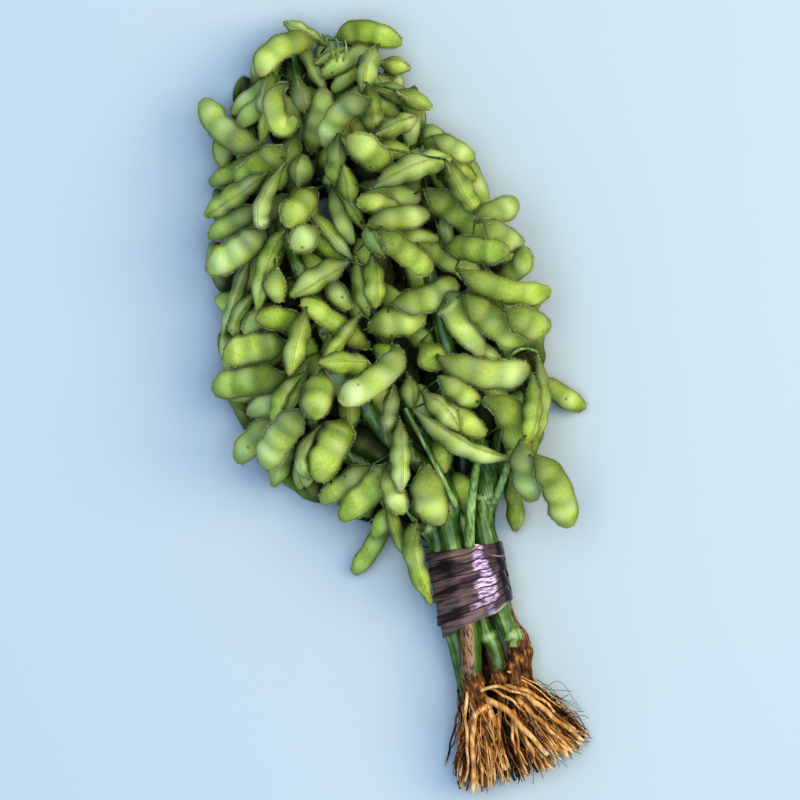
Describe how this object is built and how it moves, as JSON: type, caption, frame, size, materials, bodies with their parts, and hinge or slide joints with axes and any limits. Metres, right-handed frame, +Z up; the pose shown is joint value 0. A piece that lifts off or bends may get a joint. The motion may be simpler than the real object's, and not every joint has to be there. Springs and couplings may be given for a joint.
{
  "type": "edamame branch",
  "caption": "Bunch of freshly pulled soybean plants, stripped of leaves and tied near the roots with glossy dark tape, with a dense head of fuzzy green pods",
  "frame": {"origin": "on the surface that the bunch lies on, under the middle of its bounding box", "axes": "+Y runs along the bunch from the roots to the tip of the head, +Z is up, +X is to the right seen from above with the head at the top"},
  "size_m": [0.1926, 0.4318, 0.0996],
  "materials": {
    "pod_green": "velvety green pod skin and smooth green stems",
    "root_brown": "dry fibrous brown root bark",
    "tape_dark": "glossy wrinkled dark purple-black plastic film"
  },
  "bodies": {
    "root": {"plant_1": "pod_green", "plant_2": "pod_green", "plant_3": "pod_green", "plant_4": "pod_green", "plant_5": "pod_green", "plant_6": "pod_green", "plant_7": "pod_green", "root_1": "root_brown", "root_2": "root_brown", "root_3": "root_brown", "root_4": "root_brown", "root_5": "root_brown", "root_6": "root_brown", "root_7": "root_brown", "tape": "tape_dark"}
  },
  "joints": []
}
